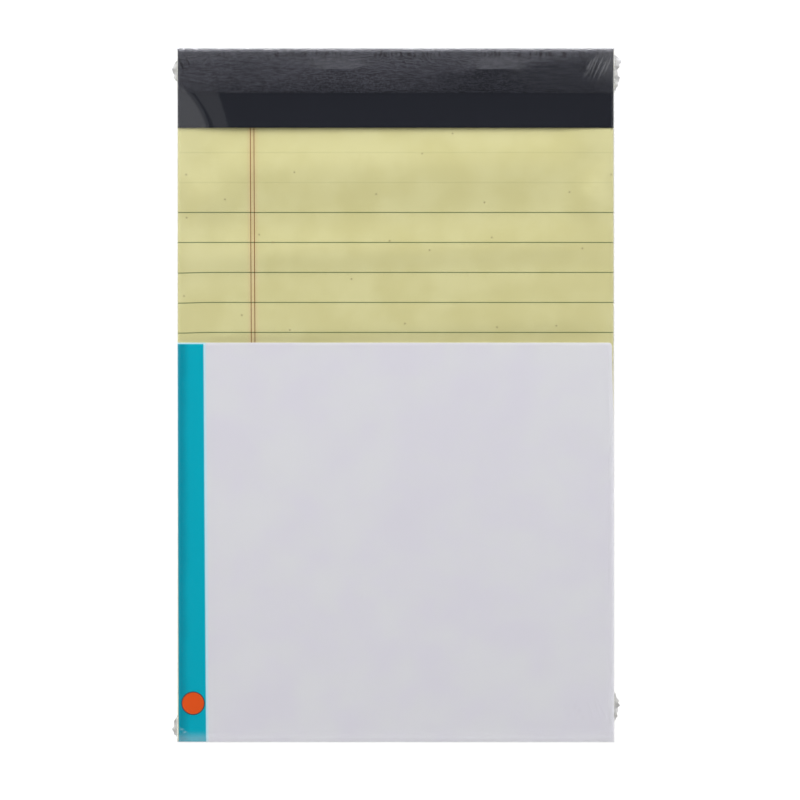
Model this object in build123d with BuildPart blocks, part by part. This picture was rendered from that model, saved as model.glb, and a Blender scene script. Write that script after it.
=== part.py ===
"""A junior legal pad: ruled sheets on a board, stapled and taped at the head, with a label, in shrink film.

The pad lies on its back: +Z out of its front face, +Y towards the bound head, origin under its middle.
"""

import os

from build123d import *

# Sheets and board, as a trimmed stack with square corners, pressed thinner towards its stapled head
sheet_width = 127.0
sheet_length = 201.6
sheet_count = 50
sheet_thick = 0.084
board_thick = 0.7
edge_round = 1.2
head_press = 0.5

# Binding tape: depth of its two flaps, and of the thicker grained band over the pressed head
tape_thick = 0.2
tape_front = 22.7
tape_back = 18.0
band_depth = 12.8
band_rise = 0.06

# Flat-wire staples: places along the head, crown width outside, and how far the wire stands out of the stack
staple_places = (-16.7, 30.0)
staple_from_head = 5.8
wire_wide = 0.6
wire_thick = 0.42
staple_crown = 10.6
staple_clinch = 3.6
staple_bend = 0.7
staple_proud = 0.12
staple_play = 0.02

# Label sheet: from the foot up, with its left edge on the stack's left edge
label_thick = 0.15
label_length = 116.2
label_inset = 0.5
label_corner = 1.0

# Shrink film: its wall, the air under it, and the welded seam
film_thick = 0.05
film_air = 0.05
film_side = 0.1
film_fold = 0.1
seam_reach = 0.3
seam_thick = 0.12

# Gathered ears of the film beside the corners: side, end, start from the corner, length and reach
film_ears = (
    (-1, 1, 2.4, 7.4, 1.7),
    (1, 1, 0.9, 12.8, 2.5),
    (-1, -1, 0.6, 7.4, 1.7),
    (1, -1, 4.6, 11.8, 2.0),
)
ear_pleat = 1.6
ear_swing = 0.35
ear_peak = 0.3
ear_notch = 0.6

# Levels, from the floor up
half_width = sheet_width / 2
half_length = sheet_length / 2
ridge_rise = tape_thick + band_rise + staple_proud + staple_play
film_lift = ridge_rise + film_air
board_low = film_thick + film_lift
sheets_low = board_low + board_thick
sheets_high = sheets_low + sheet_count * sheet_thick
film_high = sheets_high + film_lift + film_thick
seam_level = film_high / 2

# The pressed head: an arc that leaves the flat front at the band's edge and falls by head_press at the head
press_line = half_length - band_depth
press_radius = (band_depth**2 + head_press**2) / (2 * head_press)

# The film's inner faces
film_inner_side = half_width + film_side
film_inner_foot = half_length + film_side
film_inner_head = half_length + tape_thick + band_rise + film_air


def pressed_level(high, place):
    """How high a front that is flat at the level high lies at a place on its pressed head."""
    reach = press_radius + high - sheets_high
    return high - reach + (reach**2 - (place - press_line) ** 2) ** 0.5


def rounded_slab(side, foot, head, low, high, radius):
    """A slab with a pressed head and rounded upper edges, reaching to its side, foot and head."""
    with BuildPart() as slab:
        with BuildSketch(Plane.YZ):
            with BuildLine():
                flat = Line((-foot, high), (press_line, high))
                slope = TangentArc((press_line, high), (head, pressed_level(high, head)), tangent=(1, 0))
                Polyline(slope @ 1, (head, low), (-foot, low), flat @ 0)
            make_face()
        extrude(amount=side, both=True)
        upper = slab.edges().filter_by(lambda edge: edge.center().Z > (low + 2 * high) / 3)
        across = upper.filter_by(Axis.X).sort_by(Axis.Y)
        fillet(upper.filter_by(Axis.X, reverse=True) + [across[0], across[-1]], radius=radius)
    return slab.part


def stack_skin(layer):
    """The whole stack of board and sheets, grown by a layer all round."""
    return rounded_slab(
        half_width + layer,
        half_length + layer,
        half_length + layer,
        board_low - layer,
        sheets_high + layer,
        edge_round + layer,
    )


def head_reach(front, back):
    """The space round the head that a folded strip may fill, down to its two flaps' edges."""
    with BuildPart() as reach:
        with BuildSketch(Plane.YZ):
            with BuildLine():
                Polyline(
                    (half_length - front, seam_level),
                    (half_length - front, 2 * film_high),
                    (half_length + front, 2 * film_high),
                    (half_length + front, -film_high),
                    (half_length - back, -film_high),
                    (half_length - back, seam_level),
                    close=True,
                )
            make_face()
        extrude(amount=half_width, both=True)
    return reach.part


def folded_strip(layer, front, back):
    """A strip of the layer's thickness folded over the head, still filled by the stack inside it."""
    with BuildPart() as strip:
        add(stack_skin(layer))
        add(head_reach(front, back), mode=Mode.INTERSECT)
    return strip.part


staple_line = half_length - staple_from_head
crown_level = pressed_level(sheets_high, staple_line) + staple_proud - wire_thick / 2
clinch_level = board_low - staple_proud + wire_thick / 2
leg_place = (staple_crown - wire_thick) / 2


def bent_wires(grow, corner=0):
    """Both staples with their wire grown all round: crown, two legs, and the clinched ends turned in."""
    clinch_end = leg_place - staple_clinch - grow
    with BuildPart() as wire:
        with BuildLine(Plane.XZ.offset(-staple_line)) as path:
            FilletPolyline(
                (-clinch_end, clinch_level),
                (-leg_place, clinch_level),
                (-leg_place, crown_level),
                (leg_place, crown_level),
                (leg_place, clinch_level),
                (clinch_end, clinch_level),
                radius=staple_bend,
            )
        with BuildSketch(Plane(path.line @ 0, x_dir=(0, 1, 0), z_dir=path.line % 0)) as section:
            Rectangle(wire_wide + 2 * grow, wire_thick + 2 * grow)
            if corner:
                fillet(section.vertices(), radius=corner)
        sweep()
    with BuildPart() as pair:
        with Locations(*[(place, 0, 0) for place in staple_places]):
            add(wire.part)
    return pair.part


def film_ear(side, end, start, length, reach):
    """One gathered ear of doubled film: pleats that run outwards, cut to a ragged leaf."""
    corner = (side * film_inner_side, end * half_length, seam_level)
    flat = Plane(corner, x_dir=(side, 0, 0), z_dir=(0, 0, -side * end))
    rise = Plane(corner, x_dir=(0, -end, 0), z_dir=(side, 0, 0))
    pleats = round(length / ear_pleat)
    waves = [(start + length * i / pleats, ear_swing * (-1) ** i) for i in range(pleats + 1)]
    with BuildPart() as ear:
        with BuildSketch(rise):
            with BuildLine():
                upper = Spline(*[(along, up + film_thick) for along, up in waves])
                lower = Spline(*[(along, up - film_thick) for along, up in waves])
                Line(upper @ 0, lower @ 0)
                Line(upper @ 1, lower @ 1)
            make_face()
        extrude(amount=reach)
        with BuildSketch(flat):
            with BuildLine():
                leaf = Spline(
                    (0, start),
                    (reach, start + ear_peak * length),
                    (ear_notch * reach, start + ear_notch * length),
                    (0, start + length),
                )
                Line(leaf @ 1, leaf @ 0)
            make_face()
        extrude(amount=film_high / 2, both=True, mode=Mode.INTERSECT)
    return ear.part


stack = stack_skin(0)
staple_beds = bent_wires(staple_play)

# Ruled sheets: the stack above the board, pressed round at its upper edges, pierced by the staples
with BuildPart() as ruled_sheets:
    add(rounded_slab(half_width, half_length, half_length, sheets_low, sheets_high, edge_round))
    add(staple_beds, mode=Mode.SUBTRACT)
ruled_sheets.part.label = "ruled_sheets"

# Backing board: plain chipboard, with the clinched wire pressed part way into its back
with BuildPart() as backing_board:
    with BuildSketch(Plane.XY.offset(board_low)):
        Rectangle(sheet_width, sheet_length)
    extrude(amount=board_thick)
    add(staple_beds, mode=Mode.SUBTRACT)
backing_board.part.label = "backing_board"

# Staples: two bent wires
with BuildPart() as staples:
    add(bent_wires(0))
staples.part.label = "staples"

# Binding tape: flaps and head, the grained band along the fold, and ridges over the wire
with BuildPart() as binding_tape:
    add(folded_strip(tape_thick, tape_front, tape_back))
    add(folded_strip(tape_thick + band_rise, band_depth, band_depth))
    add(bent_wires(staple_play + tape_thick + band_rise, corner=tape_thick))
    add(stack, mode=Mode.SUBTRACT)
    add(staple_beds, mode=Mode.SUBTRACT)
binding_tape.part.label = "binding_tape"

# Label sheet: it lies on the sheets and follows their rounded edges at the foot and the sides
with BuildPart() as label_sheet:
    add(stack_skin(label_thick))
    with BuildSketch(Plane.XY.offset(seam_level)):
        with Locations((-label_inset / 2, (label_length - sheet_length) / 2)):
            outline = Rectangle(sheet_width - label_inset, label_length)
        fillet(outline.vertices().group_by(Axis.Y)[-1].sort_by(Axis.X)[-1], radius=label_corner)
    extrude(amount=film_high, mode=Mode.INTERSECT)
    add(stack, mode=Mode.SUBTRACT)
label_sheet.part.label = "label_sheet"

# Shrink film: a closed skin, welded at the head, the foot and the right side, with four gathered ears
with BuildPart() as shrink_film:
    add(
        rounded_slab(
            film_inner_side + film_thick,
            film_inner_foot + film_thick,
            film_inner_head + film_thick,
            0,
            film_high,
            edge_round + film_thick,
        )
    )
    fillet(shrink_film.faces().sort_by(Axis.Z)[0].edges(), radius=film_fold)
    with BuildSketch(Plane.XY.offset(seam_level)):
        seam_left = -film_inner_side
        seam_right = film_inner_side + film_thick + seam_reach
        seam_foot = -film_inner_foot - film_thick - seam_reach
        seam_head = film_inner_head + film_thick + seam_reach
        with Locations(((seam_left + seam_right) / 2, (seam_foot + seam_head) / 2)):
            Rectangle(seam_right - seam_left, seam_head - seam_foot)
    extrude(amount=seam_thick / 2, both=True)
    for ear in film_ears:
        add(film_ear(*ear))
    add(
        rounded_slab(
            film_inner_side,
            film_inner_foot,
            film_inner_head,
            film_thick,
            film_high - film_thick,
            edge_round,
        ),
        mode=Mode.SUBTRACT,
    )
shrink_film.part.label = "shrink_film"

os.makedirs("parts", exist_ok=True)
for piece in (ruled_sheets, backing_board, staples, binding_tape, label_sheet, shrink_film):
    export_step(piece.part, f"parts/{piece.part.label}.step")
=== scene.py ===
import math
import random

import bmesh
import bpy
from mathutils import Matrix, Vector, noise


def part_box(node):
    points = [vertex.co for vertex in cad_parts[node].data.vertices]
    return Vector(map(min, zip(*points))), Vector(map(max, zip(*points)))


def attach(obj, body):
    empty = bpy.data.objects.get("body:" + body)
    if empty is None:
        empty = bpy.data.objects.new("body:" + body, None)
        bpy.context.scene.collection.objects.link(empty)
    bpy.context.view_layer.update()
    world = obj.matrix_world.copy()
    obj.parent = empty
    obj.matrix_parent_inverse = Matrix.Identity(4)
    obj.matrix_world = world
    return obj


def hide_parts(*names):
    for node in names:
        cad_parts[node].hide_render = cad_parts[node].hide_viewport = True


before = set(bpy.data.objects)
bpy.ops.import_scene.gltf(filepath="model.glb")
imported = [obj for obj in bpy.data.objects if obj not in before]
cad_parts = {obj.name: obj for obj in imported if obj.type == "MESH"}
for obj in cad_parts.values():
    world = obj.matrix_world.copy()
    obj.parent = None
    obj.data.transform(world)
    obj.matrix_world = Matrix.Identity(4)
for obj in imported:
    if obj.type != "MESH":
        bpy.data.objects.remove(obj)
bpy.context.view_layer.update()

# Ruled sheets: fifty leaves of ruled canary paper with a double margin line, trimmed square as one stack.
# The staples press the head thinner, and the open part of the top leaf has cockled a little.
# Sizes here and below are in millimetres, and become metres where the points are laid.
mm = 0.001
stack_low, stack_high = (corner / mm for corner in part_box("ruled_sheets"))
half_width = stack_high.x
half_length = stack_high.y
sheets_low = stack_low.z
sheets_high = stack_high.z
edge_round = 1.2
band_depth = 12.8
head_press = 0.5
press_line = half_length - band_depth
press_radius = (band_depth**2 + head_press**2) / (2 * head_press)
label_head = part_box("label_sheet")[1].y / mm
tape_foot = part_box("binding_tape")[0].y / mm
under_cover = 0.04
tuck = 1
lift_off = 2
cockles = (
    (83, -0.38),
    (66, 0.39),
    (52, 0.07),
    (42, 0.37),
    (35.5, 0.19),
    (30, 0.23),
    (20.5, 0.27),
    (12.5, -0.1),
)
cockle_tilt = 0.03
cockle_sides = (44, 63)
cockle_held = 0.6
leaf_mounds = (
    (-53.5, 56, 4.5, 5, 0.25),
    (-58, 67.5, 4.5, 6, -0.36),
    (56.5, 56, 4.5, 5, 0.25),
    (57.5, 68, 4, 5.5, -0.32),
)
edge_rings = 6
page_rings = 24
page_wander = 0.06
page_scale = 0.05
page_phase = 61.7
leaf_step = 1.3
covered_step = 2.5
open_step = 0.6
taped_step = 1.0


def ease(value, start, end):
    """From 0 at start to 1 at end, with soft ends."""
    part = min(1.0, max(0.0, (value - start) / (end - start)))
    return part * part * (3 - 2 * part)


def pressed(high, y):
    """The level at y of a front that is flat at the level high and falls in an arc to the pressed head."""
    reach = press_radius + high - sheets_high
    return high - reach + math.sqrt(reach**2 - max(0.0, y - press_line) ** 2)


def edge_fall(past, radius):
    """How far a rounded edge has fallen at a distance past the start of its rounding."""
    return radius - math.sqrt(max(0.0, radius**2 - max(0.0, past) ** 2))


def grid_lines(*stops):
    """Lines of a grid, from its places in order with the step to take between each two of them."""
    lines = []
    for start, step, end in zip(stops[::2], stops[1::2], stops[2::2]):
        count = max(1, round((end - start) / step))
        lines += [start + (end - start) * i / count for i in range(count)]
    return lines + [stops[-1]]


def laid_grid(name, across, along, place):
    """A grid mesh whose lines are given, with each point moved to its place."""
    bpy.ops.object.select_all(action="DESELECT")
    bpy.ops.mesh.primitive_grid_add(x_subdivisions=len(across) - 1, y_subdivisions=len(along) - 1, size=1)
    piece = bpy.context.object
    piece.name = name
    piece.data.name = name
    for point in piece.data.vertices:
        column = round((point.co.x + 0.5) * (len(across) - 1))
        row = round((point.co.y + 0.5) * (len(along) - 1))
        point.co = Vector(place(across[column], along[row])) * mm
    return piece


def extrude_rim(piece, core, rings, place):
    """Extrudes the open edge round a rectangular core, ring by ring, and closes the last ring with a face."""
    west, east, south, north = core
    hair = 0.001
    bpy.ops.object.mode_set(mode="EDIT")
    bpy.ops.mesh.select_mode(type="EDGE")
    bpy.ops.mesh.select_all(action="DESELECT")
    bpy.ops.mesh.select_non_manifold(use_wire=False, use_multi_face=False, use_non_contiguous=False)
    for ring in rings:
        bpy.ops.mesh.extrude_region_move()
        mesh = bmesh.from_edit_mesh(piece.data)
        for point in mesh.verts:
            if point.select:
                x = min(max(point.co.x / mm, west), east)
                y = min(max(point.co.y / mm, south), north)
                out_x = (x > east - hair) - (x < west + hair)
                out_y = (y > north - hair) - (y < south + hair)
                point.co = Vector(place(ring, x, y, out_x, out_y)) * mm
        bmesh.update_edit_mesh(piece.data)
    bpy.ops.mesh.edge_face_add()
    bpy.ops.mesh.select_all(action="SELECT")
    bpy.ops.mesh.normals_make_consistent(inside=False)
    bpy.ops.object.mode_set(mode="OBJECT")


def single_out(piece):
    """Selects one piece and makes it the active one."""
    bpy.ops.object.select_all(action="DESELECT")
    piece.select_set(True)
    bpy.context.view_layer.objects.active = piece


def smooth_faces(piece, degrees):
    """Shades the piece smooth, with edges sharper than that angle kept crisp."""
    single_out(piece)
    bpy.ops.object.shade_smooth_by_angle(angle=math.radians(degrees))


def cockle(x, y):
    """How far the top leaf has risen off the stack, crest by crest from the tape down to the label."""
    level = 0.0
    y -= cockle_tilt * x
    for (upper, start), (lower, end) in zip(cockles, cockles[1:]):
        if lower <= y <= upper:
            level = start + (end - start) * ease(y, upper, lower)
    return level * (1 - cockle_held * ease(abs(x), *cockle_sides))


def mounded(x, y, mounds):
    """How far soft mounds, each with its place, its reach both ways and its height, stand up at a place."""
    rise = 0.0
    for middle_x, middle_y, wide, long, high in mounds:
        rise += high * math.exp(-(((x - middle_x) / wide) ** 2) - ((y - middle_y) / long) ** 2)
    return rise


def top_leaf(x, y):
    """A point of the top leaf, which lies close under the tape and the label and free between them."""
    free = ease(y, label_head - tuck, label_head + lift_off)
    free *= 1 - ease(y, tape_foot - tuck, tape_foot + lift_off)
    rise = cockle(x, y) + mounded(x, y, leaf_mounds)
    return x, y, pressed(sheets_high, y) - under_cover + free * (under_cover + rise)


def rippled(x, y, scale_x, scale_y, layer):
    """Soft noise about 0 at a place, from one of many layers of it."""
    return noise.noise(Vector((x * scale_x, y * scale_y, layer)))


def leaf_edges(ring, x, y, out_x, out_y):
    """A point of the rounded upper edge, or of the uneven page edges below it."""
    top = top_leaf(x, y)[2]
    if ring <= 1:
        out = edge_round * math.sin(ring * math.pi / 2)
        return x + out_x * out, y + out_y * out, top - edge_round * (1 - math.cos(ring * math.pi / 2))
    low = (ring - 1) * (top - edge_round - sheets_low)
    shift = rippled(x, y, page_scale, page_scale, ring * page_phase)
    out = edge_round - page_wander * (0.5 + 0.5 * shift)
    return x + out_x * out, y + out_y * out, top - edge_round - low


core_x = half_width - edge_round
core_y = half_length - edge_round
open_foot = label_head - lift_off
open_head = tape_foot + lift_off
sheets = laid_grid(
    "ruled_sheets_leaves",
    grid_lines(-core_x, leaf_step, core_x),
    grid_lines(-core_y, covered_step, open_foot, open_step, open_head, taped_step, core_y),
    top_leaf,
)
round_steps = [step / edge_rings for step in range(1, edge_rings + 1)]
page_steps = [1 + step / page_rings for step in range(1, page_rings + 1)]
extrude_rim(sheets, (-core_x, core_x, -core_y, core_y), round_steps + page_steps, leaf_edges)
smooth_faces(sheets, degrees=40)


def feed(tree, source, socket):
    """Links a socket to its source, or sets it to a plain value."""
    if isinstance(source, bpy.types.NodeSocket):
        tree.links.new(source, socket)
    else:
        socket.default_value = source


def maths(tree, operation, *values):
    """One step of arithmetic on numbers."""
    node = tree.nodes.new("ShaderNodeMath")
    node.operation = operation
    for value, socket in zip(values, node.inputs):
        feed(tree, value, socket)
    return node.outputs["Value"]


def soft_band(tree, value, start, end):
    """From 0 at start to 1 at end, with soft ends."""
    node = tree.nodes.new("ShaderNodeMapRange")
    node.interpolation_type = "SMOOTHSTEP"
    feed(tree, value, node.inputs["Value"])
    node.inputs["From Min"].default_value = start
    node.inputs["From Max"].default_value = end
    return node.outputs["Result"]


def line_mask(tree, distance, width, soft):
    """1 on a line of that width and 0 off it, from the distance to its middle."""
    return maths(tree, "SUBTRACT", 1.0, soft_band(tree, distance, (width - soft) / 2, (width + soft) / 2))


def between(tree, factor, low, high):
    """A number between low and high by a factor."""
    return maths(tree, "MULTIPLY_ADD", factor, high - low, low)


def blended(tree, factor, under, over, mode="MIX"):
    """One colour over another by a factor."""
    node = tree.nodes.new("ShaderNodeMix")
    node.data_type = "RGBA"
    node.blend_type = mode
    feed(tree, factor, node.inputs[0])
    feed(tree, under, node.inputs[6])
    feed(tree, over, node.inputs[7])
    return node.outputs[2]


def cloudy(tree, place, scale, detail=2.0):
    """Soft noise, about 0.5 on average."""
    node = tree.nodes.new("ShaderNodeTexNoise")
    node.inputs["Scale"].default_value = scale
    node.inputs["Detail"].default_value = detail
    feed(tree, place, node.inputs["Vector"])
    return node.outputs["Fac"]


def stretched(tree, place, x, y, z):
    """The same place on a frame that is drawn out by different amounts each way."""
    node = tree.nodes.new("ShaderNodeMapping")
    node.inputs["Scale"].default_value = (x, y, z)
    feed(tree, place, node.inputs["Vector"])
    return node.outputs["Vector"]


def start_finish(name):
    """A new material with its node tree, its shader, and its place on the piece in millimetres."""
    material = bpy.data.materials.new(name)
    material.use_nodes = True
    tree = material.node_tree
    where = tree.nodes.new("ShaderNodeTexCoord")
    place = stretched(tree, where.outputs["Object"], 1 / mm, 1 / mm, 1 / mm)
    parts = tree.nodes.new("ShaderNodeSeparateXYZ")
    feed(tree, place, parts.inputs["Vector"])
    shader = tree.nodes["Principled BSDF"]
    return material, tree, shader, place, (parts.outputs["X"], parts.outputs["Y"], parts.outputs["Z"])


def raise_bump(tree, shader, height, depth, strength=1.0):
    """Fine relief of that depth in millimetres, from a height between 0 and 1."""
    node = tree.nodes.new("ShaderNodeBump")
    node.inputs["Strength"].default_value = strength
    node.inputs["Distance"].default_value = depth * mm
    feed(tree, height, node.inputs["Height"])
    feed(tree, node.outputs["Normal"], shader.inputs["Normal"])


fibre_along = (2.6, 0.7, 1.5)
fibre_across = (0.8, 2.8, 1.5)
fibre_detail = 3.0
cloud_scale = 0.09


def make_paper_fibre():
    """The fibre and cloudiness of pulp, for each of the papers and boards."""
    group = bpy.data.node_groups.new("paper_fibre", "ShaderNodeTree")
    group.interface.new_socket("Place", in_out="INPUT", socket_type="NodeSocketVector")
    group.interface.new_socket("Fibre", in_out="OUTPUT", socket_type="NodeSocketFloat")
    group.interface.new_socket("Cloud", in_out="OUTPUT", socket_type="NodeSocketFloat")
    entry = group.nodes.new("NodeGroupInput")
    leave = group.nodes.new("NodeGroupOutput")
    place = entry.outputs["Place"]
    one_way = cloudy(group, stretched(group, place, *fibre_along), scale=1.0, detail=fibre_detail)
    other_way = cloudy(group, stretched(group, place, *fibre_across), scale=1.0, detail=fibre_detail)
    feed(group, maths(group, "MAXIMUM", one_way, other_way), leave.inputs["Fibre"])
    feed(group, cloudy(group, place, cloud_scale, fibre_detail), leave.inputs["Cloud"])
    return group


paper_fibre = make_paper_fibre()


def fibre_of(tree, place):
    """The fibre and the cloudiness at a place on paper."""
    node = tree.nodes.new("ShaderNodeGroup")
    node.node_tree = paper_fibre
    feed(tree, place, node.inputs["Place"])
    return node.outputs["Fibre"], node.outputs["Cloud"]


front_share = 0.7
rule_first = 53.28
rule_pitch = 8.731
rule_wide = 0.29
rule_soft = 0.06
rules_above = 0.5
rules_below = -16.5
ghosts_above = 2.5
ghost_ink = 0.12
sag_across = (-54.0, -63.0)
sag_along = (45.0, 33.0)
sag_deep = 0.2
margin_place = -42.25
margin_gap = 1.06
margin_wide = 0.23
margin_level = 65
margin_lean = 0.005
canary = (0.735, 0.70, 0.375, 1.0)
canary_shade = (0.675, 0.635, 0.315, 1.0)
canary_dim = (0.52, 0.48, 0.20, 1.0)
canary_clouds = (0.3, 0.7)
canary_pulp = (0.45, 0.75)
pulp_share = 0.35
canary_sheen = 0.2
leaf_lines = (0.08, 0.08, 9.0)
leaf_streaks = (0.42, 0.7)
rule_ink = (0.27, 0.35, 0.28, 1.0)
margin_ink = (0.36, 0.16, 0.07, 1.0)
margin_blush = (1.0, 0.89, 0.92, 1.0)
blush_wide = 2.4
speck_scale = 0.055
speck_wide = 0.03
speck_soft = 0.016
speck_ink = 0.6
fleck_brown = (0.30, 0.24, 0.12, 1.0)


def make_canary_paper():
    """Dyed, ruled writing paper: print on the top leaf, and the lines of the leaves down the sides."""
    material, tree, shader, place, (x, y, z) = start_finish("canary_paper")
    fibre, cloud = fibre_of(tree, place)
    colour = blended(tree, soft_band(tree, cloud, *canary_clouds), canary_shade, canary)
    pulp = maths(tree, "MULTIPLY", soft_band(tree, fibre, *canary_pulp), pulp_share)
    colour = blended(tree, pulp, colour, canary_shade)

    sag = maths(tree, "MULTIPLY", soft_band(tree, x, *sag_across), soft_band(tree, y, *sag_along))
    sagged = maths(tree, "MULTIPLY_ADD", sag, sag_deep, y)
    phase = maths(tree, "DIVIDE", maths(tree, "SUBTRACT", sagged, rule_first), rule_pitch)
    stray = maths(tree, "ABSOLUTE", maths(tree, "SUBTRACT", phase, maths(tree, "ROUND", phase)))
    rule = line_mask(tree, maths(tree, "MULTIPLY", stray, rule_pitch), rule_wide, rule_soft)
    ruled = maths(tree, "LESS_THAN", phase, rules_above)
    ghost = maths(tree, "MULTIPLY", maths(tree, "LESS_THAN", phase, ghosts_above), ghost_ink)
    ruled = maths(tree, "MAXIMUM", ruled, ghost)
    ruled = maths(tree, "MULTIPLY", ruled, maths(tree, "GREATER_THAN", phase, rules_below))
    front = maths(tree, "GREATER_THAN", z, sheets_high - front_share * edge_round)
    ruled = maths(tree, "MULTIPLY", ruled, front)

    leaning = maths(tree, "MULTIPLY_ADD", y, margin_lean, x)
    offset = maths(tree, "SUBTRACT", leaning, margin_place + margin_level * margin_lean)
    middle = maths(tree, "ABSOLUTE", maths(tree, "SUBTRACT", offset, margin_gap / 2))
    beside = maths(tree, "ABSOLUTE", maths(tree, "SUBTRACT", middle, margin_gap / 2))
    line = line_mask(tree, beside, margin_wide, rule_soft)
    blush = line_mask(tree, middle, blush_wide, blush_wide)
    colour = blended(tree, maths(tree, "MULTIPLY", blush, front), colour, margin_blush, "MULTIPLY")
    colour = blended(tree, maths(tree, "MULTIPLY", rule, ruled), colour, rule_ink, "MULTIPLY")
    colour = blended(tree, maths(tree, "MULTIPLY", line, front), colour, margin_ink, "MULTIPLY")

    specks = tree.nodes.new("ShaderNodeTexVoronoi")
    specks.voronoi_dimensions = "2D"
    specks.inputs["Scale"].default_value = speck_scale
    feed(tree, place, specks.inputs["Vector"])
    speck = line_mask(tree, specks.outputs["Distance"], speck_wide, speck_soft)
    colour = blended(tree, maths(tree, "MULTIPLY", speck, speck_ink), colour, fleck_brown)

    leaves = cloudy(tree, stretched(tree, place, *leaf_lines), scale=1.0, detail=fibre_detail)
    sides = maths(tree, "SUBTRACT", 1.0, front)
    streaks = maths(tree, "MULTIPLY", sides, soft_band(tree, leaves, *leaf_streaks))
    colour = blended(tree, streaks, colour, canary_dim)
    feed(tree, colour, shader.inputs["Base Color"])
    feed(tree, between(tree, fibre, low=0.78, high=0.95), shader.inputs["Roughness"])
    shader.inputs["Specular IOR Level"].default_value = canary_sheen
    raise_bump(tree, shader, maths(tree, "MAXIMUM", fibre, streaks), depth=0.02, strength=0.35)
    return material


sheets.data.materials.append(make_canary_paper())
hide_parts("ruled_sheets")
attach(sheets, "root")

# Backing board: one sheet of grey chipboard of pressed waste paper, cut with the sheets, bare on its back.
# The part's own solid shows, with flecks and short fibres in its pulp.
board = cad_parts["backing_board"]
board_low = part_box("backing_board")[0].z / mm
board_grey = (0.335, 0.295, 0.235, 1.0)
board_shade = (0.215, 0.185, 0.14, 1.0)
board_fleck = (0.11, 0.095, 0.075, 1.0)
board_pale = (0.50, 0.46, 0.39, 1.0)
board_clouds = (0.35, 0.65)
board_clouding = 0.3
board_pulp = (0.52, 0.72)
dark_flecks = (0.9, 2.4, 2.0)
dark_seen = (0.68, 0.76)
dark_share = 0.7
pale_flecks = (2.1, 1.2, 2.0)
pale_seen = (0.69, 0.76)
pale_share = 0.6


def make_chipboard():
    """Pressed grey pulp with dark and pale flecks."""
    material, tree, shader, place, _ = start_finish("grey_chipboard")
    fibre, cloud = fibre_of(tree, place)
    dull = maths(tree, "MULTIPLY", soft_band(tree, cloud, *board_clouds), board_clouding)
    colour = blended(tree, dull, board_grey, board_shade)
    colour = blended(tree, soft_band(tree, fibre, *board_pulp), colour, board_shade)
    dark = cloudy(tree, stretched(tree, place, *dark_flecks), scale=1.0, detail=1.0)
    dark = maths(tree, "MULTIPLY", soft_band(tree, dark, *dark_seen), dark_share)
    colour = blended(tree, dark, colour, board_fleck)
    pale = cloudy(tree, stretched(tree, place, *pale_flecks), scale=1.0, detail=1.0)
    pale = maths(tree, "MULTIPLY", soft_band(tree, pale, *pale_seen), pale_share)
    colour = blended(tree, pale, colour, board_pale)
    feed(tree, colour, shader.inputs["Base Color"])
    feed(tree, between(tree, fibre, low=0.8, high=0.95), shader.inputs["Roughness"])
    raise_bump(tree, shader, fibre, depth=0.03, strength=0.5)
    return material


board.data.materials.clear()
board.data.materials.append(make_chipboard())

# Staples: two lengths of flat drawn wire, driven from the front and clinched inwards on the back.
# The part's own solids stay, as they lie under the tape, with the drawn lines of the wire.
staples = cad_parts["staples"]
wire_grey = (0.62, 0.62, 0.63, 1.0)
wire_dull = (0.40, 0.40, 0.41, 1.0)
wire_lines = (0.6, 14.0, 14.0)


def make_staple_wire():
    """Drawn, lightly dulled steel wire."""
    material, tree, shader, place, _ = start_finish("staple_wire")
    drawn = cloudy(tree, stretched(tree, place, *wire_lines), scale=1.0)
    feed(tree, blended(tree, drawn, wire_dull, wire_grey), shader.inputs["Base Color"])
    feed(tree, between(tree, drawn, low=0.28, high=0.48), shader.inputs["Roughness"])
    shader.inputs["Metallic"].default_value = 1.0
    raise_bump(tree, shader, drawn, depth=0.01, strength=0.4)
    return material


staples.data.materials.clear()
staples.data.materials.append(make_staple_wire())

# Binding tape: a strip of black coated paper glued over the head, from the front round to the back.
# Its band along the fold is grained and stands a step above the smooth part, and the staples show as ridges.
tape_thick = 0.2
band_rise = 0.06
back_flap = 18.0
flap_reach = 0.18
flap_strip = 0.6
step_ramp = 0.3
back_round = 0.2
back_cut = 0.06
bend_steps = 8
head_steps = 5
strip_step = 0.14
flap_step = 0.6
grain_step = 0.4
back_step = 0.7
end_step = 0.2
tape_step = 0.5
staple_places = (-16.7, 30.0)
staple_shows = (0.45, 1.0)
staple_from_head = 5.8
staple_line = half_length - staple_from_head
crown_half = 5.3
clinch_long = 3.6
ridge_rise = 0.16
ridge_soft = 0.5
clinch_end = 0.4
clinch_soft = 0.62
swell_rise = 0.15
swell_wide = 7.5
swell_down = 4.2
swell_up = 2.4
tape_lift = 0.4
lift_reach = 6
lift_sides = (46, 60)
flap_dip = 0.08
dip_reach = 0.5
grain_end = 3
emboss_deep = 0.009
emboss_coarse = (0.42, 0.5, 3.0)
emboss_fine = (1.1, 1.2, 9.0)
fine_share = 0.7
wall_play = 0.02


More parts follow.
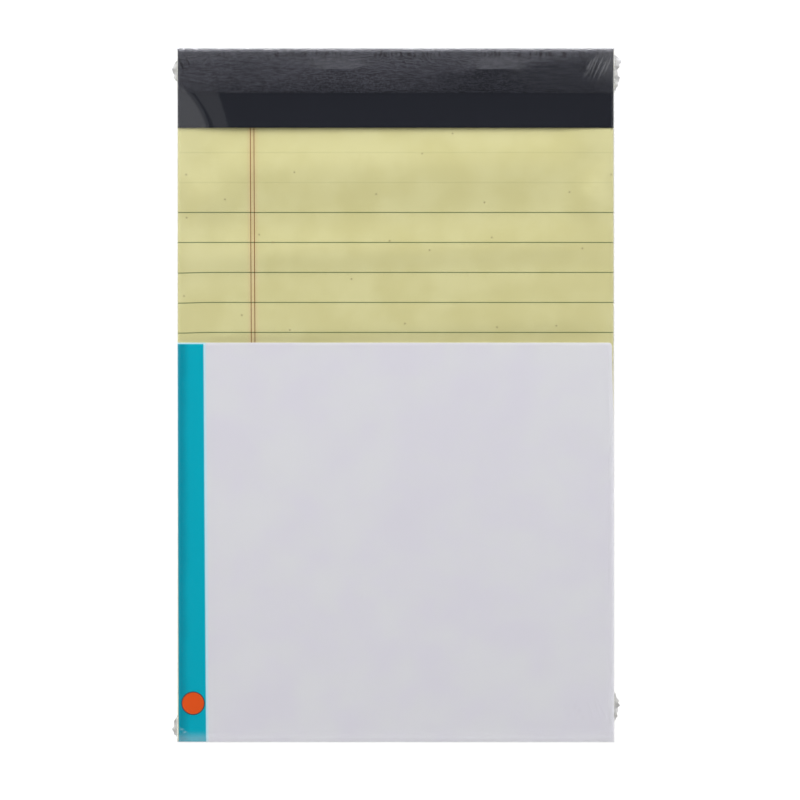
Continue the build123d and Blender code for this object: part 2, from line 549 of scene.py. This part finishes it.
def fold_profile():
    """The tape's outer face in side view, from the front flap's edge over the head to the back flap's."""
    edge = tape_foot - flap_reach
    smooth = grid_lines(edge, strip_step, tape_foot + flap_strip, flap_step, press_line - step_ramp)
    bend = half_length - edge_round
    grained = grid_lines(press_line + step_ramp, grain_step, bend)
    fold = [(y, sheets_high + tape_thick) for y in smooth]
    fold += [(y, pressed(sheets_high + tape_thick + band_rise, y)) for y in grained[:-1]]
    arc_foot = sheets_high - press_radius
    hub = arc_foot + math.sqrt((press_radius - edge_round) ** 2 - (bend - press_line) ** 2)
    lean = math.asin((bend - press_line) / (press_radius - edge_round))
    radius = edge_round + tape_thick + band_rise
    for turn in range(bend_steps + 1):
        angle = lean + (math.pi / 2 - lean) * turn / bend_steps
        fold.append((bend + radius * math.sin(angle), hub + radius * math.cos(angle)))
    head = half_length + tape_thick + band_rise
    band_back = board_low - tape_thick - band_rise
    descent = band_back + back_round - hub
    fold += [(head, hub + descent * down / head_steps) for down in range(1, head_steps + 1)]
    fold += [(head - back_cut, band_back + back_cut), (head - back_round, band_back)]
    back = grid_lines(grain_step, grain_step, band_depth - step_ramp)
    fold += [(half_length - y, band_back) for y in back]
    plain = grid_lines(band_depth + step_ramp, back_step, back_flap)
    return fold + [(half_length - y, board_low - tape_thick) for y in plain]


tape_fold = fold_profile()


def staple_rise(x, y, crowns=1.0):
    """How far the crowns lift the tape's front: a narrow ridge, or a share of it, on a broad swelling."""
    rise = 0.0
    for middle, shows in zip(staple_places, staple_shows):
        past = max(0.0, abs(x - middle) - crown_half + ridge_soft)
        across = (y - staple_line) / ridge_soft
        rise += crowns * shows * ridge_rise * math.exp(-((past / ridge_soft) ** 2) - across**2)
        reach = swell_down if y < staple_line else swell_up
        rise += swell_rise * math.exp(-(((x - middle) / swell_wide) ** 2) - ((y - staple_line) / reach) ** 2)
    return rise


def clinch_rise(x, y):
    """How far the turned-in ends lift the tape's back."""
    rise = 0.0
    for middle in staple_places:
        along = abs(x - middle)
        past = max(0.0, along - crown_half + clinch_end, crown_half - clinch_long - along)
        rise += ridge_rise * math.exp(-((past / ridge_soft) ** 2) - ((y - staple_line) / clinch_soft) ** 2)
    return rise


def tape_point(x, row):
    """A point of the tape's outer face, drawn down at both ends by the stack's rounded sides."""
    y, z = tape_fold[row]
    if z < board_low:
        return x, y, z - clinch_rise(x, y)
    layer = tape_thick if y < press_line else tape_thick + band_rise
    side = edge_fall(abs(x) - half_width + edge_round, edge_round + layer)
    if y < half_length - edge_round:
        grained = ease(y, press_line, press_line + step_ramp)
        grained *= 1 - ease(y, half_length - grain_end, half_length - edge_round)
        emboss = rippled(x, y, *emboss_coarse) + fine_share * rippled(x, y, *emboss_fine)
        z += staple_rise(x, y) + grained * emboss_deep * emboss
        held = 1 - ease(abs(x), *lift_sides)
        z += tape_lift * held * (1 - ease(y, tape_foot - lift_reach, tape_foot + lift_reach))
        z -= flap_dip * (1 - ease(y, tape_foot - step_ramp, tape_foot + dip_reach))
    if side:
        z = min(z, pressed(sheets_high + layer, min(y, half_length + tape_thick)) - side)
    return x, y, z


def give_wall(piece, thick):
    """Gives a skin its thickness inwards, and applies it."""
    single_out(piece)
    wall = piece.modifiers.new("wall", "SOLIDIFY")
    wall.thickness = thick * mm
    wall.offset = -1
    bpy.ops.object.modifier_apply(modifier=wall.name)


tape = laid_grid(
    "binding_tape_strip",
    grid_lines(-half_width, end_step, -core_x, tape_step, core_x, end_step, half_width),
    range(len(tape_fold)),
    tape_point,
)
give_wall(tape, tape_thick - wall_play)
smooth_faces(tape, degrees=50)

tape_black = (0.0158, 0.0174, 0.0245, 1.0)
tape_grained = (0.0190, 0.0202, 0.0275, 1.0)
# Colour of the band's painted sheen, where light glances off its front towards the fold.
tape_painted_highlight = (0.051, 0.051, 0.063, 1.0)
tape_pits = (0.012, 0.012, 0.016, 1.0)
tape_worn = (0.24, 0.24, 0.26, 1.0)
grit_scale = 3.6
grit_share = 0.46
pebble_scale = 1.25
pebble_share = 0.14
streak_drawn = (0.55, 4.0, 1.0)
streak_share = 0.4
band_border = (press_line - 0.05, press_line + 0.1)


def make_tape_grain():
    """The fine, slightly drawn-out grain of the band, which the film over it takes up as well."""
    group = bpy.data.node_groups.new("tape_grain", "ShaderNodeTree")
    group.interface.new_socket("Place", in_out="INPUT", socket_type="NodeSocketVector")
    group.interface.new_socket("Grain", in_out="OUTPUT", socket_type="NodeSocketFloat")
    group.interface.new_socket("Band", in_out="OUTPUT", socket_type="NodeSocketFloat")
    entry = group.nodes.new("NodeGroupInput")
    leave = group.nodes.new("NodeGroupOutput")
    place = entry.outputs["Place"]
    grit = cloudy(group, place, grit_scale, detail=1.0)
    pebble = cloudy(group, place, pebble_scale, detail=1.0)
    streak = cloudy(group, stretched(group, place, *streak_drawn), scale=1.0, detail=1.0)
    grain = maths(group, "MULTIPLY", grit, grit_share)
    grain = maths(group, "MULTIPLY_ADD", pebble, pebble_share, grain)
    grain = maths(group, "MULTIPLY_ADD", streak, streak_share, grain)
    feed(group, grain, leave.inputs["Grain"])
    parts = group.nodes.new("ShaderNodeSeparateXYZ")
    feed(group, place, parts.inputs["Vector"])
    feed(group, soft_band(group, parts.outputs["Y"], *band_border), leave.inputs["Band"])
    return group


tape_grain = make_tape_grain()


def grain_of(tree, place):
    """The band's grain at a place, and whether the place is on the band."""
    node = tree.nodes.new("ShaderNodeGroup")
    node.node_tree = tape_grain
    feed(tree, place, node.inputs["Place"])
    return node.outputs["Grain"], node.outputs["Band"]


front_turn = (sheets_high - 1.1, sheets_high - 0.5)
# Where the band's painted sheen reaches: paler towards the fold, and fading from the left end to the right.
highlight_reach = (press_line - 3, press_line + 6)
highlight_border = staple_line - 1.7
highlight_slant = -8.0
highlight_fade = (0.0, 24.0)
grain_seen = (0.41, 0.59)
tape_clouds = (0.4, 0.7)
tape_clouding = 0.25
tape_fibre = 0.1
tape_sheen = 0.1
tick_drawn = (1.5, 0.3, 1.0)
tick_seen = (0.54, 0.6)
tick_patches = (0.6, 0.4)
tick_share = 0.95
tick_reach = (half_length - 2.9, half_length - 1.5)
nick_seen = (0.5, 0.56)
nick_share = 0.85
nick_across = 0.91
nick_along = 0.41
nick_side = (4 - half_width, 3 - half_width)
nick_foot = (half_length - 6.4, half_length - 5.2)
nick_head = (half_length - 2.2, half_length - 2.8)
fold_reach = (half_length - 0.9, half_length - 0.3)
worn_seen = (0.44, 0.62)
worn_share = 0.5


def make_tape_black():
    """Black coated paper: smooth on the plain part, and on the band grained, with a painted sheen that makes
    it paler towards the fold.
    """
    material, tree, shader, place, (x, y, z) = start_finish("black_binding_tape")
    fibre, cloud = fibre_of(tree, place)
    grain, band = grain_of(tree, place)
    front = soft_band(tree, z, *front_turn)
    # Painted sheen: the band's front is paler towards the fold, more on the left than on the right.
    highlight_share = maths(tree, "MULTIPLY", front, soft_band(tree, y, *highlight_reach))
    up = maths(tree, "MAXIMUM", maths(tree, "SUBTRACT", y, highlight_border), 0.0)
    highlight_dimmed = soft_band(tree, maths(tree, "MULTIPLY_ADD", up, highlight_slant, x), *highlight_fade)
    highlight_share = maths(tree, "MULTIPLY", highlight_share, between(tree, highlight_dimmed, low=0.8, high=0.12))
    colour = blended(tree, highlight_share, tape_grained, tape_painted_highlight)
    shade = between(tree, soft_band(tree, grain, *grain_seen), low=0.6, high=1.4)
    colour = blended(tree, 1.0, colour, shade, "MULTIPLY")
    clouded = maths(tree, "MULTIPLY", soft_band(tree, cloud, *tape_clouds), tape_clouding)
    colour = blended(tree, clouded, colour, tape_black)

    ticks = cloudy(tree, stretched(tree, place, *tick_drawn), scale=1.0, detail=1.0)
    ticks = maths(tree, "MULTIPLY", soft_band(tree, ticks, *tick_seen), soft_band(tree, y, *tick_reach))
    ticks = maths(tree, "MULTIPLY", ticks, soft_band(tree, cloud, *tick_patches))
    colour = blended(tree, maths(tree, "MULTIPLY", ticks, tick_share), colour, tape_pits)
    aslant = maths(tree, "MULTIPLY_ADD", y, nick_along, maths(tree, "MULTIPLY", x, nick_across))
    nicks = soft_band(tree, cloudy(tree, aslant, scale=1.0, detail=0.0), *nick_seen)
    nicks = maths(tree, "MULTIPLY", nicks, soft_band(tree, x, *nick_side))
    nicks = maths(tree, "MULTIPLY", nicks, soft_band(tree, y, *nick_foot))
    nicks = maths(tree, "MULTIPLY", nicks, soft_band(tree, y, *nick_head))
    colour = blended(tree, maths(tree, "MULTIPLY", nicks, nick_share), colour, tape_pits)

    fold = maths(tree, "MULTIPLY", front, soft_band(tree, y, *fold_reach))
    worn = maths(tree, "MULTIPLY", fold, soft_band(tree, grain, *worn_seen))
    colour = blended(tree, maths(tree, "MULTIPLY", worn, worn_share), colour, tape_worn)
    colour = blended(tree, band, tape_black, colour)
    feed(tree, colour, shader.inputs["Base Color"])
    rough = between(tree, band, low=0.42, high=0.58)
    feed(tree, maths(tree, "MULTIPLY_ADD", fibre, tape_fibre, rough), shader.inputs["Roughness"])
    shader.inputs["Specular IOR Level"].default_value = tape_sheen
    relief = maths(tree, "MULTIPLY", grain, between(tree, band, low=0.12, high=1.0))
    raise_bump(tree, shader, relief, depth=0.045, strength=0.6)
    return material


tape.data.materials.append(make_tape_black())
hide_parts("binding_tape")
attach(tape, "root")

# Label sheet: one leaf of smooth white paper over the lower front, held only by the wrapping.
# It is printed with a stripe down its left side and a round spot near the foot, and lies a little askew.
label_thick = 0.15
label_low, label_high = (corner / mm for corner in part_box("label_sheet"))
label_corner = 1.0
corner_reach = 1.2
corner_foot = label_high.y - corner_reach
label_lean = 0.0026
label_slip = 0.4
slip_down = (3, 25)
slip_across = (50, label_high.x)
label_overhang = 0.03
side_fall = 0.2
foot_fall = 0.06
label_wave = 0.02
label_ripple = (0.05, 0.05, 21.0)
label_curl = 0.06
curl_deep = 0.8
label_play = 0.03
hem = 0.4
hem_step = 0.2
label_step = 1.5
corner_step = 0.15


def label_point(x, y):
    """A point of the label's face, bent over the stack's rounded sides and foot."""
    down = label_high.y - y
    into_corner = max(0.0, x - label_high.x + label_corner)
    rounded = label_corner - math.sqrt(label_corner**2 - into_corner**2)
    y -= rounded * max(0.0, 1 - down / corner_reach)
    slip = label_slip * ease(down, *slip_down) * ease(x, *slip_across)
    x = min(x + label_lean * down + slip, half_width + label_overhang)
    radius = edge_round + label_thick
    side = side_fall * edge_fall(abs(x) - core_x, radius)
    foot = foot_fall * edge_fall(-y - core_y, radius)
    wave = label_wave * rippled(x, y, *label_ripple)
    curl = -label_curl * ease(y, label_high.y - curl_deep, label_high.y)
    return x, y, sheets_high + label_thick - max(side, foot) + wave + curl


label = laid_grid(
    "label_sheet_leaf",
    grid_lines(label_low.x, hem_step, hem - core_x, label_step, core_x - hem, hem_step, label_high.x),
    grid_lines(label_low.y, hem_step, hem - core_y, label_step, corner_foot, corner_step, label_high.y),
    label_point,
)
give_wall(label, label_thick - label_play)
smooth_faces(label, degrees=50)

print_lean = 0.0068
stripe_edge = -55.95
stripe_soft = 0.12
stripe_tint = (-61.6, -58.6)
stripe_clouding = 2.0
halo_reach = (0.25, 0.95)
halo_ink = 0.85
trim_side = label_low.x + label_lean * label_high.y
trim_turn = (trim_side - 0.05, trim_side + 0.1)
trim_head = (label_high.y - 0.3, label_high.y - 0.5)
spot_place = (-58.95, -89.6)
spot_radius = 3.15
keyline_wide = 0.3
print_soft = 0.15
label_white = (0.79, 0.79, 0.82, 1.0)
label_mauve = (0.77, 0.755, 0.82, 1.0)
label_clouds = (0.3, 0.7)
label_pulp = 0.05
label_sheen = 0.06
stripe_teal = (0.0, 0.44, 0.57, 1.0)
stripe_deep = (0.0, 0.31, 0.42, 1.0)
halo_pale = (0.55, 0.86, 0.95, 1.0)
spot_orange = (0.84, 0.105, 0.014, 1.0)
keyline_dark = (0.035, 0.065, 0.07, 1.0)


def make_label_paper():
    """Smooth white paper with a faint mauve cast, and its plain print."""
    material, tree, shader, place, (x, y, _) = start_finish("white_label_paper")
    fibre, cloud = fibre_of(tree, place)
    paper = blended(tree, soft_band(tree, cloud, *label_clouds), label_white, label_mauve)
    paper = blended(tree, maths(tree, "MULTIPLY", fibre, label_pulp), paper, label_mauve)
    leaning = maths(tree, "MULTIPLY_ADD", y, print_lean, x)
    past = maths(tree, "SUBTRACT", leaning, stripe_edge + print_lean * label_high.y)
    halo = maths(tree, "SUBTRACT", 1.0, soft_band(tree, past, *halo_reach))
    paper = blended(tree, maths(tree, "MULTIPLY", halo, halo_ink), paper, halo_pale)

    tint = soft_band(tree, maths(tree, "MULTIPLY_ADD", cloud, stripe_clouding, x), *stripe_tint)
    stripe = blended(tree, tint, stripe_deep, stripe_teal)
    printed = maths(tree, "SUBTRACT", 1.0, soft_band(tree, past, -stripe_soft, stripe_soft))
    bare = maths(tree, "MULTIPLY_ADD", y, label_lean, x)
    trimmed = soft_band(tree, bare, *trim_turn)
    trimmed = maths(tree, "MULTIPLY", trimmed, soft_band(tree, y, *trim_head))
    colour = blended(tree, maths(tree, "MULTIPLY", printed, trimmed), paper, stripe)

    from_x = maths(tree, "SUBTRACT", x, spot_place[0])
    from_y = maths(tree, "SUBTRACT", y, spot_place[1])
    squares = maths(tree, "ADD", maths(tree, "POWER", from_x, 2.0), maths(tree, "POWER", from_y, 2.0))
    from_spot = maths(tree, "SQRT", squares)
    keyline = line_mask(tree, from_spot, 2 * spot_radius + 2 * keyline_wide, print_soft)
    spot = line_mask(tree, from_spot, 2 * spot_radius, print_soft)
    colour = blended(tree, keyline, colour, keyline_dark)
    colour = blended(tree, spot, colour, spot_orange)
    feed(tree, colour, shader.inputs["Base Color"])
    feed(tree, between(tree, fibre, low=0.42, high=0.6), shader.inputs["Roughness"])
    shader.inputs["Specular IOR Level"].default_value = label_sheen
    raise_bump(tree, shader, fibre, depth=0.012, strength=0.3)
    return material


label.data.materials.append(make_label_paper())
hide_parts("label_sheet")
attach(label, "root")

# Shrink film: a bag of clear film drawn tight by heat, welded along the head, the foot and the right side.
# Where it gathers at the corners it makes small crumpled ears and fine creases that fan in over the front.
random.seed(11)
film_thick = 0.05
film_high = (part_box("shrink_film")[1] / mm).z
film_round = 0.6
film_play = 0.15
film_side = half_width + film_play
film_foot = -half_length - film_play
film_head_play = 0.36
film_head = half_length + film_head_play
film_core = (
    -film_side + film_round,
    film_side - film_round,
    film_foot + film_round,
    film_head - film_round,
)
film_columns = (0.25, -57, 0.4, -46, 1.6, 40, 0.8, 56, 0.2)
film_rows = (0.4, -84, 2.5, 14, 1.6, 72, 0.6, 88, 0.3)
seam_level = film_high / 2
seam_half = 0.06
seam_reach = 0.3
folded_reach = 0.04
weld_parts = (0.0, 0.3, 0.6, 1.0)
weld_taper = 0.5
weld_crumple = 0.125
weld_scale = 1.1
weld_shift = 2
weld_layer = 41.0
fold_parts = (1.0, 0.5, 0.0)
fold_round = 0.1
film_ears = (
    (-1, 1, 2.4, 7.4, 1.8, ((0.0, 0.0), (0.4, 1.0), (0.75, 0.7), (1.0, 0.0))),
    (1, 1, 0.9, 12.8, 2.7, ((0.0, 0.0), (0.18, 1.0), (0.4, 0.5), (0.6, 0.72), (1.0, 0.0))),
    (-1, -1, 0.6, 7.4, 1.7, ((0.0, 0.0), (0.35, 1.0), (0.65, 0.7), (1.0, 0.0))),
    (1, -1, 4.6, 11.8, 2.0, ((0.0, 0.0), (0.25, 0.6), (0.6, 1.0), (0.7, 0.4), (1.0, 0.0))),
)
ear_pleat = 1.6
ear_swing = 0.2
ear_full = 0.82
ear_ragged = 0.36
ragged_scale = 1.3
ragged_side = 7.0
ragged_end = 3.0
crease_turn = 2.5
crease_stray = 0.2
crease_start = 0.8
crease_shortest = 0.55
crease_narrowest = 0.75
crease_lowest = 0.5
crease_root = -0.1
crease_full = 0.2
crease_fade = 0.4
crease_tip = 1.1


def row_of_creases(start_x, start_y, pitch, turn, count, longest, widest, highest, scar):
    """Creases side by side from a corner: each one's start, direction, length, width, height and haze."""
    creases = []
    for i in range(count):
        angle = math.radians(turn + random.uniform(-crease_turn, crease_turn))
        way = Vector((math.cos(angle), math.sin(angle)))
        begin_x = start_x + pitch * (i + random.uniform(-crease_stray, crease_stray))
        begin_y = start_y + random.uniform(-crease_start, crease_start)
        long = longest * random.uniform(crease_shortest, 1.0)
        wide = widest * random.uniform(crease_narrowest, 1.0)
        high = highest * random.uniform(crease_lowest, 1.0)
        creases.append((Vector((begin_x, begin_y)), way, long, wide, high, scar))
    return creases


film_creases = (
    row_of_creases(-62.4, 98.3, 1.15, -66, 3, 4.6, 0.3, 0.04, 0.0)
    + row_of_creases(62.6, 98.4, -1.1, -115, 6, 9.5, 0.2, 0.03, 0.045)
    + row_of_creases(61.5, -94.0, -2.2, 112, 6, 9.0, 0.2, 0.03, 0.02)
    + row_of_creases(-62.9, -97.3, 0.9, -18, 2, 2.6, 0.2, 0.03, 0.12)
)


def film_crease(x, y):
    """How far a crease stands up at a place, and how hazy it is there."""
    rise = 0.0
    haze = 0.0
    for begin, way, long, wide, high, scar in film_creases:
        apart = Vector((x, y)) - begin
        along = apart.dot(way) / long
        if crease_root < along < crease_tip:
            across = (apart.x * way.y - apart.y * way.x) / wide
            part = math.exp(-(across**2)) * ease(along, crease_root, crease_full)
            part *= 1 - ease(along, crease_fade, crease_tip)
            rise += high * part
            haze += scar * part
    return rise, haze


film_mounds = (
    (-52.0, 60.7, 5.0, 6.0, 0.1),
    (56.5, 60.5, 5.0, 6.0, 0.1),
)
ramp_soft = 0.16
inner_place = -51.4
inner_slant = 0.31
inner_slope = 0.0145
outer_place = -60.5
outer_slant = 0.85
outer_bow = 0.03
outer_slope = 0.005
facet_fold = 0.022
fold_offset = 0.6
facet_head = (press_line - 0.5, press_line + 6)
facet_foot = (tape_foot - 7, tape_foot - 1)
slack_foot = (label_head - 6, label_head + 8)
slack_head = (press_line - 5, press_line + 3)
slack_sides = (46, 66)
slack_drop = 0.05
film_wave = 0.008
film_ripple = (0.045, 0.06, 31.0)
cockle_share = 0.4
crown_share = 0.6


def soft_ramp(value):
    """The value above 0 and nothing below it, with a soft turn."""
    return (value + math.sqrt(value**2 + ramp_soft)) / 2


def facet_borders(y):
    """Where the inner and the outer facet at the tape's left end begin."""
    down = press_line - y
    return inner_place + inner_slant * down, outer_place + outer_slant * down - outer_bow * down**2


def end_facets(x, y):
    """How far the film falls at the tape's left end, in two facets with a soft fold between them."""
    inner, outer = facet_borders(y)
    fall = inner_slope * soft_ramp(inner - x) - outer_slope * soft_ramp(outer - x)
    fall -= facet_fold * math.exp(-((x - outer - fold_offset) ** 2))
    return fall * (1 - ease(y, *facet_head)) * ease(y, *facet_foot)


def film_front(x, y):
    """A point of the film's front: tight over the band and the label, and slack over the open sheet."""
    slack = ease(y, *slack_foot) * (1 - ease(y, *slack_head))
    drop = end_facets(x, y) + slack_drop * slack * ease(abs(x), *slack_sides) - mounded(x, y, film_mounds)
    wave = film_wave * rippled(x, y, *film_ripple)
    over = cockle_share * slack * max(0.0, cockle(x, y)) + staple_rise(x, y, crown_share)
    return x, y, pressed(film_high, y) - drop + wave + over + film_crease(x, y)[0]


def seam_reach_at(y, out_x, out_y):
    """How far the welded edge stands out, and how far its pleats swing, at a place round the pad."""
    reach = folded_reach if out_x < 0 and not out_y else seam_reach
    swing = 0.0
    for side, end, start, long, longest, leaf_stops in film_ears:
        along = (half_length - start - end * y) / long
        if out_x == side and 0 < along < 1:
            for (a, low), (b, high) in zip(leaf_stops, leaf_stops[1:]):
                if a <= along <= b:
                    leaf = low + (high - low) * ease(along, a, b)
            uneven = noise.noise(Vector((y * ragged_scale, side * ragged_side, end * ragged_end)))
            ragged = ear_full + ear_ragged * uneven
            reach = max(reach, longest * leaf * ragged)
            swing = ear_swing * leaf * math.cos(math.pi * along * round(long / ear_pleat))
    return reach, swing


def film_wall(ring, x, y, out_x, out_y):
    """A point of the film below its front: rounded edge, wall, welded seam with its ears, wall and fold."""
    name, part = ring
    top = film_front(x, y)[2]
    out = film_round
    level = 0.0
    if name == "edge":
        out = film_round * math.sin(part * math.pi / 2)
        level = top - film_round * (1 - math.cos(part * math.pi / 2))
    if name in ("weld_up", "weld_down"):
        reach, swing = seam_reach_at(y, out_x, out_y)
        out = film_round + reach * part
        gap = seam_half * (1 - weld_taper * part)
        uneven = noise.noise(Vector((x * weld_scale + part * weld_shift, y * weld_scale, weld_layer)))
        crumple = weld_crumple * part * reach * uneven
        level = seam_level + swing * part + crumple + (gap if name == "weld_up" else -gap)
    if name == "fold":
        out = film_round - fold_round * (1 - math.sin(part * math.pi / 2))
        level = fold_round * (1 - math.cos(part * math.pi / 2))
    return x + out_x * out, y + out_y * out, level


film = laid_grid(
    "shrink_film_bag",
    grid_lines(film_core[0], *film_columns, film_core[1]),
    grid_lines(film_core[2], *film_rows, film_core[3]),
    film_front,
)
film_rings = [("edge", part) for part in round_steps]
film_rings += [("weld_up", part) for part in weld_parts]
film_rings += [("weld_down", part) for part in reversed(weld_parts)]
film_rings += [("fold", part) for part in fold_parts]
extrude_rim(film, film_core, film_rings, film_wall)


weld_haze = 0.06
ear_haze = 0.8
ear_start = 0.25
ear_most = 0.8
# Painted highlights: pale haze along the film's right side and its foot stands in for light caught on its
# rolled edge.
side_highlight = 0.1
side_highlight_reach = (half_width - 2, half_width)
side_highlight_fade = (0, 5)
foot_highlight = 0.08
foot_highlight_reach = (half_length - 3.4, half_length - 0.3)
corner_haze = 0.016
corner_side = (half_width - 6, half_width - 2)
corner_head = (half_length - 11, half_length - 5)
# Painted reflection: pale haze on the outer facet at the tape's left end stands in for light mirrored there.
facet_highlight = 0.017
facet_highlight_turn = (-0.2, 0.4)
facet_highlight_start = (tape_foot - 1, tape_foot)
facet_highlight_end = (press_line, press_line + 3)


def mark_haze_and_highlights(piece):
    """Writes down how crumpled, and so how hazy, the film is at each point, and where pale haze is painted on
    as highlight and reflection.
    """
    crumple = piece.data.attributes.new("crumple", "FLOAT", "POINT")
    for point, mark in zip(piece.data.vertices, crumple.data):
        x, y, z = point.co / mm
        past = max(abs(x) - film_side, y - film_head, film_foot - y)
        reach = seam_reach_at(y, (x > 0) - (x < 0), 0)[0]
        ear = ease(past, 0.0, ear_start) * (weld_haze + ear_haze * ease(reach, seam_reach, ear_most))
        # Painted highlight along the film's rolled right side and along its foot.
        side = side_highlight * ease(x, *side_highlight_reach) * ease(label_head - y, *side_highlight_fade)
        foot = foot_highlight * ease(-y, *foot_highlight_reach)
        corner = corner_haze * ease(x, *corner_side) * ease(y, *corner_head)
        corner += film_crease(x, y)[1]
        # Painted reflection on the outer facet at the tape's left end.
        facet_sheen = facet_highlight * ease(facet_borders(y)[1] - x, *facet_highlight_turn)
        facet_sheen *= ease(y, *facet_highlight_start) * (1 - ease(y, *facet_highlight_end))
        mark.value = max(ear, side, foot, corner, facet_sheen) if z > seam_level else ear


mark_haze_and_highlights(film)
give_wall(film, film_thick)
smooth_faces(film, degrees=60)

film_gloss = (0.96, 0.97, 1.0, 1.0)
film_pale_haze_and_highlight = (0.92, 0.92, 0.95, 1.0)
film_grey = (0.71, 0.71, 0.73, 1.0)
loose_foot = (label_head - 0.5, label_head + 0.5)
loose_head = (tape_foot + 0.5, tape_foot - 0.5)
loose_share = 0.6
torn_seen = (0.2, 0.6)
mirror_blend = 0.5
mirror_least = 0.04
mirror_power = 5.0


def make_clear_film():
    """Clear film: what its faces do not mirror goes through, crumples scatter a little light, and pale haze
    paints a highlight along its right side and foot and a reflection at the tape's left end.
    """
    material, tree, shader, place, (_, y, _) = start_finish("clear_film")
    tree.nodes.remove(shader)
    leave = tree.nodes["Material Output"]
    clear = tree.nodes.new("ShaderNodeBsdfTransparent")
    gloss = tree.nodes.new("ShaderNodeBsdfGlossy")
    gloss.inputs["Color"].default_value = film_gloss
    grain, band = grain_of(tree, place)
    below = soft_band(tree, y, *loose_head)
    above = soft_band(tree, y, *loose_foot)
    loose = maths(tree, "MULTIPLY", maths(tree, "MULTIPLY", below, above), loose_share)
    rough = between(tree, maths(tree, "MAXIMUM", loose, band), low=0.05, high=0.12)
    feed(tree, rough, gloss.inputs["Roughness"])
    raise_bump(tree, gloss, maths(tree, "MULTIPLY", grain, band), depth=0.025, strength=0.6)
    facing = tree.nodes.new("ShaderNodeLayerWeight")
    facing.inputs["Blend"].default_value = mirror_blend
    grazing = maths(tree, "POWER", facing.outputs["Facing"], mirror_power)
    mirrored = between(tree, grazing, low=mirror_least, high=1.0)
    skin = tree.nodes.new("ShaderNodeMixShader")
    feed(tree, mirrored, skin.inputs[0])
    feed(tree, clear.outputs[0], skin.inputs[1])
    feed(tree, gloss.outputs[0], skin.inputs[2])
    haze = tree.nodes.new("ShaderNodeBsdfDiffuse")
    # The crumple attribute carries the crumples' haze and also the painted highlights at the right side, the
    # foot and the tape's left end.
    crumple = tree.nodes.new("ShaderNodeAttribute")
    crumple.attribute_name = "crumple"
    torn = soft_band(tree, crumple.outputs["Fac"], *torn_seen)
    feed(tree, blended(tree, torn, film_pale_haze_and_highlight, film_grey), haze.inputs["Color"])
    haze_highlight_mix = tree.nodes.new("ShaderNodeMixShader")
    feed(tree, crumple.outputs["Fac"], haze_highlight_mix.inputs[0])
    feed(tree, skin.outputs[0], haze_highlight_mix.inputs[1])
    feed(tree, haze.outputs[0], haze_highlight_mix.inputs[2])
    feed(tree, haze_highlight_mix.outputs[0], leave.inputs["Surface"])
    return material


film.data.materials.append(make_clear_film())
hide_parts("shrink_film")
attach(film, "root")

# Stage: a near-white floor, soft keys from beyond the head, weak fills, and panels that the film mirrors.
# The camera looks straight down on the front from about 1.3 m. Sizes here are in metres.
floor_size = 8
floor_level = -0.0001
floor_grey = (0.1, 0.1, 0.1, 1.0)
floor_rough = 0.9
floor_glow = (1.0, 1.0, 1.0, 1.0)
glow_strength = 1.0
bpy.ops.object.select_all(action="DESELECT")
bpy.ops.mesh.primitive_plane_add(size=floor_size, location=(0, 0, floor_level))
floor = bpy.context.object
floor.name = "floor"
floor_paint = bpy.data.materials.new("floor_paint")
floor_paint.use_nodes = True
floor_shader = floor_paint.node_tree.nodes["Principled BSDF"]
floor_shader.inputs["Base Color"].default_value = floor_grey
floor_shader.inputs["Roughness"].default_value = floor_rough
floor_shader.inputs["Emission Color"].default_value = floor_glow
floor_shader.inputs["Emission Strength"].default_value = glow_strength
floor.data.materials.append(floor_paint)


def softbox(name, place, wide, tall, watts):
    """A soft light that faces the pad."""
    bpy.ops.object.light_add(type="AREA", location=place)
    light = bpy.context.object
    light.name = name
    light.data.shape = "RECTANGLE"
    light.data.size = wide
    light.data.size_y = tall
    light.data.energy = watts
    light.rotation_euler = (-Vector(place)).to_track_quat("-Z", "Y").to_euler()
    light.visible_camera = False


softbox("key_low", (0.0, 1.75, 0.45), 2.4, 0.5, 59)
softbox("key_high", (0.0, 1.4, 0.95), 2.2, 0.8, 23.7)
softbox("head_top", (0.0, 0.66, 1.28), 1.2, 0.6, 1.0)
softbox("left_fill", (-1.3, 0.0, 0.9), 1.4, 1.0, 6.8)
softbox("right_fill", (1.3, 0.0, 0.9), 1.4, 1.0, 4.7)
softbox("foot_fill", (0.0, -1.4, 0.9), 1.4, 1.0, 4.1)
softbox("left_panel", (-0.42, 0.0, 1.4), 1.0, 0.58, 0.47)
softbox("right_panel", (0.42, 0.0, 1.4), 1.0, 0.55, 0.6)

sky_tint = (0.96, 0.98, 1.0, 1.0)
sky_strength = 0.02
world = bpy.data.worlds.new("studio")
world.use_nodes = True
world.node_tree.nodes["Background"].inputs["Color"].default_value = sky_tint
world.node_tree.nodes["Background"].inputs["Strength"].default_value = sky_strength
bpy.context.scene.world = world
bpy.context.scene.view_settings.view_transform = "Standard"

camera_place = (0.00128, -0.00131, 1.2994)
camera_sensor = 36
camera_lens = 200
bpy.ops.object.camera_add(location=camera_place, rotation=(0, 0, 0))
camera = bpy.context.object
camera.data.sensor_width = camera_sensor
camera.data.lens = camera_lens
bpy.context.scene.camera = camera
